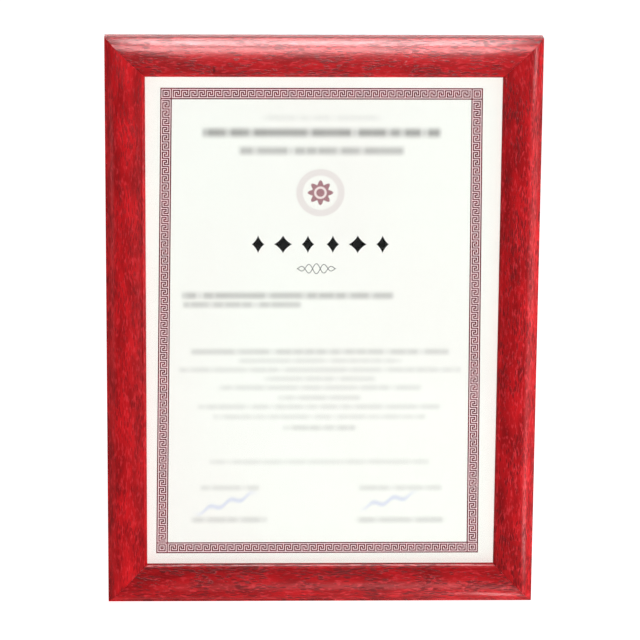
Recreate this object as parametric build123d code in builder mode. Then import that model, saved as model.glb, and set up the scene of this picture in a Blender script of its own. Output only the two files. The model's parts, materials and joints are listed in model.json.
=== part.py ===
from build123d import *
from math import cos, radians, sin, tan
import os

# Certificate frame for one A4 sheet, in millimetres, standing on its easel strut.
# +Z is up, the face looks along -Y and leans back. The origin lies on the surface that
# the frame stands on, in the middle of the frame's whole footprint.

# Sheet, and the pack that lies behind the moulding's lip
sheet_width = 210.0
sheet_height = 297.0
sheet_thickness = 0.3
sheet_clearance = 1.0
glass_thickness = 2.0
glass_edge_chamfer = 0.25
card_thickness = 1.5
board_thickness = 3.0
board_corner_radius = 1.5
pack_clearance = 0.5

# Moulding, measured across the rail from its outer edge and up from its back face
moulding_width = 23.0
rebate_width = 4.0
outer_wall_height = 11.0
arris_flat_width = 1.0
crown_rise = 3.6
crown_share = 0.36
slope_start_share = 0.72
inner_slope_angle = 17.0
quirk_width = 0.8
quirk_depth = 0.45
lip_width = 1.8
lip_drop = 0.3
lip_thickness = 2.2

# V-nails, two across each mitre
mitre_angle = 45.0
nail_leg = 4.5
nail_gauge = 0.8
nail_length = 7.0
nail_pocket_clearance = 0.05
outer_nail_inset = 6.0
inner_nail_inset = 13.5

# Turn buttons and their screws
button_thickness = 1.0
button_pivot_radius = 5.0
button_tip_radius = 3.6
button_edge_chamfer = 0.25
button_seat_gap = 0.1
button_pivot_inset = 10.0
button_overlap = 7.5
long_side_button_offset = 85.0
short_side_button_offset = 68.0
screw_shank_radius = 1.6
screw_head_radius = 3.1
screw_head_height = 1.9
screw_head_chamfer = 0.9
screw_depth = 9.0
screw_point_length = 2.5
screw_point_share = 0.25
screw_slot_length = 3.4
screw_slot_width = 0.8
screw_slot_depth = 1.0
screw_pilot_clearance = 0.05
button_bore_clearance = 0.1

# Stance. The hinge's place is a share of the frame's height.
lean_angle = 12.0
strut_opening = 22.0
hinge_height_share = 0.638

# Strut and its hinge
strut_thickness = 3.0
strut_top_width = 46.0
strut_foot_width = 78.0
strut_neck_length = 40.0
strut_top_radius = 6.0
strut_foot_radius = 4.0
strut_board_gap = 0.3
strut_top_gap = 0.6
hinge_gauge = 1.0
hinge_width = 36.0
hinge_plate_height = 30.0
hinge_plate_start = 3.2
hinge_corner_radius = 4.0
hinge_ear_radius = 2.2
hinge_ear_root = 8.0
hinge_side_gap = 0.3
leaf_ear_radius = 2.0
leaf_length = 34.0
heel_stop_gap = 0.1
pin_radius = 0.8
pin_head_radius = 1.5
pin_head_height = 0.8
pin_clearance = 0.06

# Rivets, with a low coned head outside and clinched flush into the board's other face
rivet_radius = 1.5
rivet_head_radius = 3.0
rivet_head_height = 1.2
rivet_head_chamfer = 0.8
rivet_clinch_radius = 2.4
rivet_clinch_height = 0.7
rivet_hole_clearance = 0.05
hinge_rivet_spacing = 20.0
hinge_rivet_inset = 11.0

# Hanger at the head of the board, its height measured down from the frame's top edge
hanger_drop = 38.0
strap_width = 10.0
strap_gauge = 0.8
strap_length = 9.0
strap_corner_radius = 1.5
ring_wire_radius = 1.0
ring_bore_clearance = 0.3
ring_half_width = 8.0
ring_drop = 15.5
ring_corner_radius = 2.2
ring_end_radius = 7.0

# Sizes that follow from those above
rebate_depth = board_thickness + card_thickness + sheet_thickness + glass_thickness
rebate_opening_width = sheet_width + 2 * sheet_clearance
rebate_opening_height = sheet_height + 2 * sheet_clearance
frame_wall = moulding_width - rebate_width
outer_width = rebate_opening_width + 2 * frame_wall
outer_height = rebate_opening_height + 2 * frame_wall
pack_width = rebate_opening_width - 2 * pack_clearance
pack_height = rebate_opening_height - 2 * pack_clearance
hinge_height = hinge_height_share * outer_height
hanger_height = outer_height - hanger_drop

face_start = arris_flat_width
face_end = moulding_width - lip_width - quirk_width
crown_inset = face_start + crown_share * (face_end - face_start)
slope_start_inset = face_start + slope_start_share * (face_end - face_start)
crown_height = outer_wall_height + crown_rise
inner_slope = radians(inner_slope_angle)
slope_start_height = crown_height - (slope_start_inset - crown_inset) * tan(inner_slope / 2)
face_end_height = slope_start_height - (face_end - slope_start_inset) * tan(inner_slope)
lip_start = face_end + quirk_width
lip_start_height = face_end_height - lip_drop
sight_wall_height = rebate_depth + lip_thickness

pin_standoff = strut_board_gap + leaf_ear_radius
leaf_seat = strut_board_gap + strut_thickness - pin_standoff
strut_slope = strut_opening - lean_angle
lean = radians(lean_angle)
slope = radians(strut_slope)
opening = radians(strut_opening)
hinge_rise = hinge_height * cos(lean) - pin_standoff * sin(lean)
hinge_setback = hinge_height * sin(lean) + pin_standoff * cos(lean)
front_reach = crown_height * cos(lean) - crown_inset * sin(lean)
back_reach = hinge_setback + hinge_rise * tan(slope) + leaf_seat / cos(slope)
standing_edge_y = (front_reach - back_reach) / 2
heel_length = (pin_standoff + leaf_seat * cos(opening) - hinge_gauge - heel_stop_gap) / sin(opening)

# Directions and planes. frame_plane lies on the rails' back faces, with its origin in the
# middle of the edge that the frame stands on, and looks out of the face.
across = Vector(1, 0, 0)
forward = Vector(0, -cos(lean), sin(lean))
backward = Vector(0, cos(lean), -sin(lean))
frame_plane = Plane(origin=(0, standing_edge_y, 0), x_dir=across, z_dir=forward)
upward = frame_plane.y_dir
inward_from = {"left": across, "right": -across, "top": -upward, "bottom": upward}


def on_back(x, height):
    """A point on the rails' back plane, by its place across and up the frame."""
    return frame_plane.from_local_coords((x, height, 0))


hinge_axis_point = frame_plane.from_local_coords((0, hinge_height, -pin_standoff))
strut_forward = Vector(0, -cos(slope), -sin(slope))
strut_plane = Plane(origin=hinge_axis_point, x_dir=across, z_dir=strut_forward)
ring_axis_standoff = ring_wire_radius + ring_bore_clearance + strap_gauge
ring_axis_point = frame_plane.from_local_coords((0, hanger_height, -ring_axis_standoff))

button_x = outer_width / 2 - button_pivot_inset
button_low = button_pivot_inset
button_high = outer_height - button_pivot_inset
upper_button = outer_height / 2 + long_side_button_offset
lower_button = outer_height / 2 - long_side_button_offset
turn_buttons = {
    "turn_button_left_upper": (-button_x, upper_button, "left"),
    "turn_button_left_lower": (-button_x, lower_button, "left"),
    "turn_button_right_upper": (button_x, upper_button, "right"),
    "turn_button_right_lower": (button_x, lower_button, "right"),
    "turn_button_top_left": (-short_side_button_offset, button_high, "top"),
    "turn_button_top_right": (short_side_button_offset, button_high, "top"),
    "turn_button_bottom_left": (-short_side_button_offset, button_low, "bottom"),
    "turn_button_bottom_right": (short_side_button_offset, button_low, "bottom"),
}
button_planes = {
    name: Plane(origin=on_back(x, height), x_dir=inward_from[side], z_dir=backward)
    for name, (x, height, side) in turn_buttons.items()
}

os.makedirs("parts", exist_ok=True)


def v_nails(clearance):
    """Outlines of all the V-nails on the rails' back plane, grown by a clearance."""
    mitre = radians(mitre_angle)
    leg = nail_leg * sin(mitre)
    end = nail_gauge * sin(mitre)
    throat = nail_gauge / sin(mitre)
    insets = (outer_nail_inset, inner_nail_inset)
    with BuildSketch(frame_plane) as outlines:
        for x, height, turn in (
            (-outer_width / 2, 0, mitre_angle),
            (outer_width / 2, 0, 180 - mitre_angle),
            (outer_width / 2, outer_height, 180 + mitre_angle),
            (-outer_width / 2, outer_height, -mitre_angle),
        ):
            with Locations(Location((x, height, 0), (0, 0, turn))):
                for inset in insets:
                    with Locations((inset, 0)):
                        Polygon(
                            (0, 0),
                            (leg, leg),
                            (leg + end, leg - end),
                            (throat, 0),
                            (leg + end, end - leg),
                            (leg, -leg),
                            align=None,
                        )
        if clearance > 0:
            offset(amount=clearance, kind=Kind.INTERSECTION)
    return outlines.sketch


def build_rail(middle, along, length, side):
    """One mitred and rebated length of the moulding, with its nail pockets and pilot holes.

    middle is the middle of the rail's outer edge on the back plane, and along its direction.
    """
    rail_plane = Plane(origin=middle, x_dir=along, z_dir=forward)
    section = Plane(origin=middle, x_dir=rail_plane.y_dir, z_dir=along)
    crown = (crown_inset, crown_height)
    slope_start = (slope_start_inset, slope_start_height)
    with BuildPart() as rail:
        with BuildSketch(section):
            with BuildLine():
                Polyline(
                    (frame_wall, rebate_depth),
                    (frame_wall, 0),
                    (0, 0),
                    (0, outer_wall_height),
                    (face_start, outer_wall_height),
                )
                TangentArc(crown, (face_start, outer_wall_height), tangent=(-1, 0))
                TangentArc(crown, slope_start, tangent=(1, 0))
                Polyline(
                    slope_start,
                    (face_end, face_end_height),
                    (face_end + quirk_width / 2, face_end_height - quirk_depth),
                    (lip_start, lip_start_height),
                )
                TangentArc(
                    (moulding_width, sight_wall_height),
                    (lip_start, lip_start_height),
                    tangent=(0, 1),
                )
                Polyline(
                    (moulding_width, sight_wall_height),
                    (moulding_width, rebate_depth),
                    (frame_wall, rebate_depth),
                )
            make_face()
        extrude(amount=length / 2, both=True)
        for end in (-1, 1):
            corner = rail_plane.from_local_coords((end * length / 2, 0, 0))
            mitre_plane = Plane(origin=corner, z_dir=along * end + rail_plane.y_dir)
            split(bisect_by=mitre_plane, keep=Keep.BOTTOM)
        extrude(
            v_nails(nail_pocket_clearance),
            amount=nail_length + nail_pocket_clearance,
            dir=forward,
            mode=Mode.SUBTRACT,
        )
        for name, (_, _, button_side) in turn_buttons.items():
            if button_side == side:
                with BuildSketch(button_planes[name]):
                    Circle(screw_shank_radius + screw_pilot_clearance)
                extrude(amount=-(screw_depth + screw_pilot_clearance), mode=Mode.SUBTRACT)
    return rail.part


rails = {
    "bottom": (on_back(0, 0), across, outer_width),
    "right": (on_back(outer_width / 2, outer_height / 2), upward, outer_height),
    "top": (on_back(0, outer_height), -across, outer_width),
    "left": (on_back(-outer_width / 2, outer_height / 2), -upward, outer_height),
}
for side, (middle, along, length) in rails.items():
    rail_part = build_rail(middle, along, length, side)
    rail_part.label = f"{side}_rail"
    export_step(rail_part, f"parts/{side}_rail.step")


# V-nails, driven in from behind until they are flush
with BuildPart() as corner_v_nails:
    extrude(v_nails(0), amount=nail_length, dir=forward)
corner_v_nails.part.label = "corner_v_nails"
export_step(corner_v_nails.part, "parts/corner_v_nails.step")


# The pack in the rebate, from the lip to the back: glass, sheet, card and board
sheet_level = rebate_depth - glass_thickness - sheet_thickness

with BuildPart() as glass_pane:
    with BuildSketch(frame_plane.offset(rebate_depth - glass_thickness)):
        with Locations((0, outer_height / 2)):
            Rectangle(pack_width, pack_height)
    extrude(amount=glass_thickness)
    chamfer(glass_pane.edges(), glass_edge_chamfer)
glass_pane.part.label = "glass_pane"
export_step(glass_pane.part, "parts/glass_pane.step")

with BuildPart() as certificate_sheet:
    with BuildSketch(frame_plane.offset(sheet_level)):
        with Locations((0, outer_height / 2)):
            Rectangle(sheet_width, sheet_height)
    extrude(amount=sheet_thickness)
certificate_sheet.part.label = "certificate_sheet"
export_step(certificate_sheet.part, "parts/certificate_sheet.step")

with BuildPart() as mount_card:
    with BuildSketch(frame_plane.offset(board_thickness)):
        with Locations((0, outer_height / 2)):
            Rectangle(pack_width, pack_height)
    extrude(amount=card_thickness)
mount_card.part.label = "mount_card"
export_step(mount_card.part, "parts/mount_card.step")

plate_rivet_height = hinge_height + hinge_plate_start + hinge_plate_height - hinge_rivet_inset
strap_rivet_height = hanger_height - (strap_length + ring_axis_standoff) / 2
board_rivet_points = [
    (-hinge_rivet_spacing / 2, plate_rivet_height),
    (hinge_rivet_spacing / 2, plate_rivet_height),
    (0, strap_rivet_height),
]
with BuildPart() as backing_board:
    with BuildSketch(frame_plane):
        with Locations((0, outer_height / 2)):
            RectangleRounded(pack_width, pack_height, board_corner_radius)
        with Locations(*board_rivet_points):
            Circle(rivet_radius + rivet_hole_clearance, mode=Mode.SUBTRACT)
    extrude(amount=board_thickness)
    with BuildSketch(frame_plane.offset(board_thickness)):
        with Locations(*board_rivet_points):
            Circle(rivet_clinch_radius + rivet_hole_clearance)
    extrude(amount=-(rivet_clinch_height + rivet_hole_clearance), mode=Mode.SUBTRACT)
backing_board.part.label = "backing_board"
export_step(backing_board.part, "parts/backing_board.step")


def build_turn_button(pivot_plane):
    """A flat stamped button: round about its screw, narrower at the tip of its tongue."""
    reach = frame_wall - button_pivot_inset + button_overlap
    with BuildPart() as button:
        with BuildSketch(pivot_plane.offset(button_seat_gap)):
            Circle(button_pivot_radius)
            with Locations((reach - button_tip_radius, 0)):
                Circle(button_tip_radius)
            make_hull()
            Circle(screw_shank_radius + button_bore_clearance, mode=Mode.SUBTRACT)
        extrude(amount=button_thickness)
        top_face = button.faces().sort_by(Axis(pivot_plane.origin, pivot_plane.z_dir))[-1]
        chamfer(top_face.outer_wire().edges(), button_edge_chamfer)
    return button.part


for name, pivot_plane in button_planes.items():
    button_part = build_turn_button(pivot_plane)
    button_part.label = name
    export_step(button_part, f"parts/{name}.step")


# One pan head screw on the origin, shank down, its head seated over a turn button
head_seat = 2 * button_seat_gap + button_thickness
with BuildPart() as screw:
    with BuildSketch(Plane.XY.offset(head_seat)):
        Circle(screw_head_radius)
    extrude(amount=screw_head_height)
    chamfer(screw.edges().sort_by(Axis.Z)[-1], screw_head_chamfer)
    with BuildSketch(Plane.XY.offset(head_seat)):
        Circle(screw_shank_radius)
    extrude(amount=-(head_seat + screw_depth - screw_point_length))
    with BuildSketch(Plane.XY.offset(screw_point_length - screw_depth)):
        Circle(screw_shank_radius)
    with BuildSketch(Plane.XY.offset(-screw_depth)):
        Circle(screw_point_share * screw_shank_radius)
    loft()
    with BuildSketch(Plane.XY.offset(head_seat + screw_head_height)):
        Rectangle(screw_slot_length, screw_slot_width)
        Rectangle(screw_slot_width, screw_slot_length)
    extrude(amount=-screw_slot_depth, mode=Mode.SUBTRACT)

with BuildPart(*button_planes.values()) as turn_button_screws:
    add(screw.part)
turn_button_screws.part.label = "turn_button_screws"
export_step(turn_button_screws.part, "parts/turn_button_screws.step")


# Fixed half of the strut's hinge: a plate on the board, with an ear folded up at each side
# to carry the pin. The ear's outline is drawn square to the pin, backwards and upwards.
plate_side = hinge_width / 2
hinge_seat_plane = Plane(origin=on_back(0, hinge_height), x_dir=-across, z_dir=backward)
with BuildPart() as hinge_plate:
    with BuildSketch(hinge_seat_plane) as plate_outline:
        with Locations((0, hinge_plate_start + hinge_plate_height / 2)):
            Rectangle(hinge_width, hinge_plate_height)
        fillet(plate_outline.vertices().group_by(Axis.Y)[-1], hinge_corner_radius)
        with Locations((0, plate_rivet_height - hinge_height)):
            with GridLocations(hinge_rivet_spacing, 0, 2, 1):
                Circle(rivet_radius + rivet_hole_clearance, mode=Mode.SUBTRACT)
    extrude(amount=hinge_gauge)
    ear_plane = Plane(
        origin=hinge_axis_point + across * (plate_side - hinge_gauge),
        x_dir=backward,
        z_dir=across,
    )
    with BuildSketch(ear_plane):
        Circle(hinge_ear_radius)
        with BuildLine():
            Polyline(
                (0, hinge_ear_radius),
                (hinge_gauge - pin_standoff, hinge_ear_root),
                (-pin_standoff, hinge_ear_root),
                (-pin_standoff, 0),
                (0, 0),
                (0, hinge_ear_radius),
            )
        make_face()
        Circle(pin_radius + pin_clearance, mode=Mode.SUBTRACT)
    ear = extrude(amount=hinge_gauge)
    mirror(ear, about=Plane.YZ)
hinge_plate.part.label = "hinge_plate"
export_step(hinge_plate.part, "parts/hinge_plate.step")

# Moving half: a plate on the strut with its ears inside the fixed ones. Its heel runs on past
# the pin, and comes down on the fixed plate when the strut stands open.
leaf_side = plate_side - hinge_gauge - hinge_side_gap
leaf_rivet_depth = leaf_length - hinge_rivet_inset
with BuildPart() as hinge_leaf:
    with BuildSketch(strut_plane.offset(-leaf_seat)) as leaf_outline:
        with Locations((0, (heel_length - leaf_length) / 2)):
            Rectangle(2 * leaf_side, heel_length + leaf_length)
        fillet(leaf_outline.vertices().group_by(Axis.Y)[0], hinge_corner_radius)
        with Locations((0, -leaf_rivet_depth)):
            with GridLocations(hinge_rivet_spacing, 0, 2, 1):
                Circle(rivet_radius + rivet_hole_clearance, mode=Mode.SUBTRACT)
    extrude(amount=-hinge_gauge)
    leaf_ear_plane = Plane(
        origin=hinge_axis_point + across * (leaf_side - hinge_gauge),
        x_dir=-strut_forward,
        z_dir=across,
    )
    with BuildSketch(leaf_ear_plane):
        Circle(leaf_ear_radius)
        with Locations((leaf_seat / 2, 0)):
            Rectangle(leaf_seat, 2 * leaf_ear_radius)
        Circle(pin_radius + pin_clearance, mode=Mode.SUBTRACT)
    leaf_ear = extrude(amount=hinge_gauge)
    mirror(leaf_ear, about=Plane.YZ)
hinge_leaf.part.label = "hinge_leaf"
export_step(hinge_leaf.part, "parts/hinge_leaf.step")

# Hinge pin, headed over both fixed ears
pin_plane = Plane(origin=hinge_axis_point, x_dir=backward, z_dir=across)
with BuildPart() as hinge_pin:
    with BuildSketch(pin_plane):
        Circle(pin_radius)
    extrude(amount=plate_side, both=True)
    with BuildSketch(pin_plane.offset(plate_side)):
        Circle(pin_head_radius)
    pin_head = extrude(amount=pin_head_height)
    mirror(pin_head, about=Plane.YZ)
hinge_pin.part.label = "hinge_pin"
export_step(hinge_pin.part, "parts/hinge_pin.step")

# Strut: a straight neck under the hinge, then a taper out to a foot bevelled to the floor
strut_reach = (hinge_rise + leaf_seat * sin(slope)) / cos(slope)
strut_top = hinge_ear_radius + strut_top_gap
with BuildPart() as easel_strut:
    with BuildSketch(strut_plane.offset(-leaf_seat)) as strut_outline:
        with BuildLine():
            Polyline(
                (-strut_top_width / 2, -strut_top),
                (strut_top_width / 2, -strut_top),
                (strut_top_width / 2, -strut_neck_length),
                (strut_foot_width / 2, -strut_reach),
                (-strut_foot_width / 2, -strut_reach),
                (-strut_top_width / 2, -strut_neck_length),
                close=True,
            )
        make_face()
        fillet(strut_outline.vertices().group_by(Axis.Y)[-1], strut_top_radius)
        fillet(strut_outline.vertices().group_by(Axis.Y)[0], strut_foot_radius)
        with Locations((0, -leaf_rivet_depth)):
            with GridLocations(hinge_rivet_spacing, 0, 2, 1):
                Circle(rivet_radius + rivet_hole_clearance, mode=Mode.SUBTRACT)
    extrude(amount=strut_thickness)
    with BuildSketch(strut_plane.offset(strut_thickness - leaf_seat)):
        with Locations((0, -leaf_rivet_depth)):
            with GridLocations(hinge_rivet_spacing, 0, 2, 1):
                Circle(rivet_clinch_radius + rivet_hole_clearance)
    extrude(amount=-(rivet_clinch_height + rivet_hole_clearance), mode=Mode.SUBTRACT)
    split(bisect_by=Plane.XY, keep=Keep.TOP)
easel_strut.part.label = "easel_strut"
export_step(easel_strut.part, "parts/easel_strut.step")


def build_rivet(grip):
    """A rivet on the origin: its head above, its shank and clinch down through the grip."""
    with BuildPart() as rivet:
        with BuildSketch(Plane.XY):
            Circle(rivet_head_radius)
        extrude(amount=rivet_head_height)
        chamfer(rivet.edges().sort_by(Axis.Z)[-1], rivet_head_chamfer)
        with BuildSketch(Plane.XY):
            Circle(rivet_radius)
        extrude(amount=-grip)
        with BuildSketch(Plane.XY.offset(-grip)):
            Circle(rivet_clinch_radius)
        extrude(amount=rivet_clinch_height)
    return rivet.part


with BuildPart(hinge_seat_plane.offset(hinge_gauge)) as hinge_plate_rivets:
    with Locations((0, plate_rivet_height - hinge_height)):
        with GridLocations(hinge_rivet_spacing, 0, 2, 1):
            add(build_rivet(hinge_gauge + board_thickness))
hinge_plate_rivets.part.label = "hinge_plate_rivets"
export_step(hinge_plate_rivets.part, "parts/hinge_plate_rivets.step")

leaf_back_plane = Plane(
    origin=strut_plane.from_local_coords((0, -leaf_rivet_depth, -leaf_seat - hinge_gauge)),
    x_dir=-across,
    z_dir=-strut_forward,
)
with BuildPart(leaf_back_plane) as hinge_leaf_rivets:
    with GridLocations(hinge_rivet_spacing, 0, 2, 1):
        add(build_rivet(hinge_gauge + strut_thickness))
hinge_leaf_rivets.part.label = "hinge_leaf_rivets"
export_step(hinge_leaf_rivets.part, "parts/hinge_leaf_rivets.step")


# Hanger strap: a steel strip folded double round the ring's bar, drawn from its side
with BuildPart() as hanger_strap:
    with BuildSketch(Plane(origin=ring_axis_point, x_dir=backward, z_dir=across)):
        Circle(ring_axis_standoff)
        with Locations((strap_gauge - ring_axis_standoff, -strap_length / 2)):
            Rectangle(2 * strap_gauge, strap_length)
        Circle(ring_wire_radius + ring_bore_clearance, mode=Mode.SUBTRACT)
    extrude(amount=strap_width / 2, both=True)
    strap_corners = hanger_strap.edges().filter_by(Axis(ring_axis_point, backward))
    fillet(strap_corners.group_by(Axis(ring_axis_point, upward))[0], strap_corner_radius)
    with BuildSketch(Plane(origin=on_back(0, strap_rivet_height), x_dir=-across, z_dir=backward)):
        Circle(rivet_radius + rivet_hole_clearance)
    extrude(amount=2 * strap_gauge, mode=Mode.SUBTRACT)
hanger_strap.part.label = "hanger_strap"
export_step(hanger_strap.part, "parts/hanger_strap.step")

strap_top_plane = Plane(
    origin=frame_plane.from_local_coords((0, strap_rivet_height, -2 * strap_gauge)),
    x_dir=-across,
    z_dir=backward,
)
with BuildPart(strap_top_plane) as hanger_rivet:
    add(build_rivet(2 * strap_gauge + board_thickness))
hanger_rivet.part.label = "hanger_rivet"
export_step(hanger_rivet.part, "parts/hanger_rivet.step")

# Hanger ring: wire bent round from a bar in the strap, two sides and a rounder far end. It
# hangs plumb, a little off the board that leans away above it.
ring_plane = Plane(origin=ring_axis_point, x_dir=across, z_dir=(0, -1, 0))
with BuildPart() as hanger_ring:
    with BuildLine(ring_plane) as ring_path:
        FilletPolyline(
            (-ring_half_width, 0),
            (ring_half_width, 0),
            (ring_half_width, -ring_drop),
            (-ring_half_width, -ring_drop),
            radius=[ring_corner_radius, ring_corner_radius, ring_end_radius, ring_end_radius],
            close=True,
        )
    with BuildSketch(Plane(origin=ring_axis_point, z_dir=across)):
        Circle(ring_wire_radius)
    sweep(path=ring_path.wire())
hanger_ring.part.label = "hanger_ring"
export_step(hanger_ring.part, "parts/hanger_ring.step")
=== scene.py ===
import json
import math
import bmesh
import bpy
from mathutils import Matrix, Vector

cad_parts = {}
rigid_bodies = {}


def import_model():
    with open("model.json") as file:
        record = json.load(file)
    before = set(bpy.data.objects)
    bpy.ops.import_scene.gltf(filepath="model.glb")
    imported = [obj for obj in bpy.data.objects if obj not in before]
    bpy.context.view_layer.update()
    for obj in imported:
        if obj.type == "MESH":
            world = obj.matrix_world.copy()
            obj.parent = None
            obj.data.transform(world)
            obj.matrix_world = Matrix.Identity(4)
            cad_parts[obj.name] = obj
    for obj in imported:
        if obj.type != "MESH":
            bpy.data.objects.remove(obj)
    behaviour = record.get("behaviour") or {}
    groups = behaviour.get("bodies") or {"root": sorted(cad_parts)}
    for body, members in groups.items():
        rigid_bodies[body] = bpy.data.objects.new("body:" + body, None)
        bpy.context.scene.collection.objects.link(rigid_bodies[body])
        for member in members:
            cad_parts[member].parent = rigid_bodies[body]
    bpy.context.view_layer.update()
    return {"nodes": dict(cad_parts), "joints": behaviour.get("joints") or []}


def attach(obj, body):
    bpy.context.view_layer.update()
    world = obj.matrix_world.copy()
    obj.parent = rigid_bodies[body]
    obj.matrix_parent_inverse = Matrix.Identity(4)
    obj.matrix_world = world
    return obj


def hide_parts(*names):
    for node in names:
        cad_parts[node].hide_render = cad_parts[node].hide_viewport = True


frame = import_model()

nodes = frame["nodes"]

# Stance. The frame leans back on its strut, so everything on it is laid out in the face's own axes:
# x across, y up the face and z out of the face, from the middle of the lower back edge that it stands on.
lean_angle = 12.0
standing_edge = min((vertex.co for vertex in nodes["bottom_rail"].data.vertices), key=lambda place: place.z)
lean_turn = Matrix.Rotation(math.radians(90 - lean_angle), 4, "X")
face = Matrix.Translation((0, standing_edge.y, standing_edge.z)) @ lean_turn

# Camera: a long lens, well in front, a little to the left and about 26 degrees above.
def put_in(name, data):
    """A new object in the scene."""
    made = bpy.data.objects.new(name, data)
    bpy.context.collection.objects.link(made)
    return made


camera_data = bpy.data.cameras.new("long_lens")
camera_data.lens = 197.5
camera_data.sensor_width = 36.0
camera = put_in("camera", camera_data)
camera.location = (-0.06605, -1.83113, 1.07642)
camera.rotation_euler = (math.radians(63.5394), math.radians(-0.7901), math.radians(-1.6419))
bpy.context.scene.camera = camera


# Moulding: four mitred lengths of one wooden section, flat outside, with a swelling front, a quirk and a
# rounded lip over the glass. Stained red and lacquered, duller on the outer walls, with painted shade that
# darkens the inner slope toward the quirk. Each length is cut from its own part of the figure.
moulding_width = 0.023
rebate_width = 0.004
rebate_depth = 0.0068
outer_wall_height = 0.011
arris_flat = 0.001
crown_inset = 0.007984
crown_height = 0.0146
slope_start = (0.014968, 0.013556)
face_end = (0.0204, 0.011896)
quirk_bottom = (0.0208, 0.01172)
lip_start = (0.0212, 0.01172)
sight_wall_height = 0.009
sight_undercut = 0.0009
arris_bevel = 0.0002
frame_width = 0.250
frame_height = 0.337
wall_roughness = 0.62
# Where the painted shade on the inner slope begins, in from the outer wall
inner_shade_start = 0.0125
plank_step = (0.7, 0.11)
top_plank = 2
knot_place = (top_plank * plank_step[0] + 0.0628, top_plank * plank_step[1] + 0.0185, 0)


def add_node(tree, kind, inputs=None, **settings):
    """Adds a node, sets or plugs in its inputs, and gives its outputs."""
    made = tree.nodes.new(kind)
    for name, value in settings.items():
        setattr(made, name, value)
    for name, value in (inputs or {}).items():
        if isinstance(value, bpy.types.NodeSocket):
            tree.links.new(value, made.inputs[name])
        else:
            made.inputs[name].default_value = value
    return made.outputs


def math_node(tree, operation, first, second=0.5, third=0.5):
    return add_node(tree, "ShaderNodeMath", {0: first, 1: second, 2: third}, operation=operation)[0]


def product(tree, first, *others):
    for other in others:
        first = math_node(tree, "MULTIPLY", first, other)
    return first


def vector_node(tree, operation, first, second=(0, 0, 0)):
    return add_node(tree, "ShaderNodeVectorMath", {0: first, 1: second}, operation=operation)


def new_tree(name, **sockets):
    tree = bpy.data.node_groups.new(name, "GeometryNodeTree")
    tree.is_modifier = True
    tree.interface.new_socket("Geometry", in_out="INPUT", socket_type="NodeSocketGeometry")
    for socket, kind in sockets.items():
        tree.interface.new_socket(socket, in_out="INPUT", socket_type="NodeSocket" + kind)
    tree.interface.new_socket("Geometry", in_out="OUTPUT", socket_type="NodeSocketGeometry")
    return tree, add_node(tree, "NodeGroupInput")


def plain_mesh(owner):
    """What an object's modifiers make of it, as a mesh."""
    evaluated = owner.evaluated_get(bpy.context.evaluated_depsgraph_get())
    return bpy.data.meshes.new_from_object(evaluated)


def grow(mesh, tree, bevel=0.0, **values):
    """The plain mesh that a tree makes of a starting mesh, with its edges eased by a bevel."""
    seed = put_in("seed", mesh)
    modifier = seed.modifiers.new("grow", "NODES")
    modifier.node_group = tree
    for item in tree.interface.items_tree:
        if item.in_out == "INPUT" and item.name in values:
            modifier[item.identifier] = values[item.name]
    if bevel:
        easing = seed.modifiers.new("ease", "BEVEL")
        easing.width = bevel
        easing.segments = 2
        easing.limit_method = "ANGLE"
        easing.angle_limit = math.radians(24)
    grown = plain_mesh(seed)
    bpy.data.objects.remove(seed)
    return grown


def add_piece(name, mesh, body, slot, *replaced, sharp=35.0):
    """A finished mesh as a piece of the object that rides on a body and stands for CAD nodes."""
    mesh.name = name
    mesh.polygons.foreach_set("use_smooth", [True] * len(mesh.polygons))
    mesh.set_sharp_from_angle(angle=math.radians(sharp))
    piece = put_in(name, mesh)
    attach(piece, body)
    if replaced:
        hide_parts(*replaced)


def turned_at(x, y, depth=0.0, turn=0.0):
    """A place in the face's axes, turned in the plane of the face by degrees."""
    return Matrix.Translation((x, y, depth)) @ Matrix.Rotation(math.radians(turn), 4, "Z")


def arc(centre, radius, start, end, steps):
    """Points round a centre, from one angle to another in degrees."""
    angles = [math.radians(start + (end - start) * step / steps) for step in range(steps + 1)]
    return [(centre[0] + radius * math.cos(a), centre[1] + radius * math.sin(a)) for a in angles]


def moulding_section():
    rise = crown_height - outer_wall_height
    run = crown_inset - arris_flat
    outer_radius = (run ** 2 + rise ** 2) / (2 * rise)
    outer_start = 90 + math.degrees(math.asin(run / outer_radius))
    fall = crown_height - slope_start[1]
    inner_run = slope_start[0] - crown_inset
    inner_radius = (inner_run ** 2 + fall ** 2) / (2 * fall)
    inner_end = 90 - math.degrees(math.asin(inner_run / inner_radius))
    lip_run = moulding_width - lip_start[0]
    lip_rise = lip_start[1] - sight_wall_height
    lip_radius = (lip_run ** 2 + lip_rise ** 2) / (2 * lip_run)
    lip_centre = (moulding_width - lip_radius, sight_wall_height)
    lip_angle = math.degrees(math.asin(lip_rise / lip_radius))
    return [
        (moulding_width - rebate_width, 0),
        (0, 0),
        (0, outer_wall_height),
        *arc((crown_inset, crown_height - outer_radius), outer_radius, outer_start, 90, 14),
        *arc((crown_inset, crown_height - inner_radius), inner_radius, 90, inner_end, 8)[1:],
        face_end,
        quirk_bottom,
        *arc(lip_centre, lip_radius, lip_angle, 0, 8),
        (moulding_width - sight_undercut, rebate_depth),
        (moulding_width - rebate_width, rebate_depth),
    ]


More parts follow.
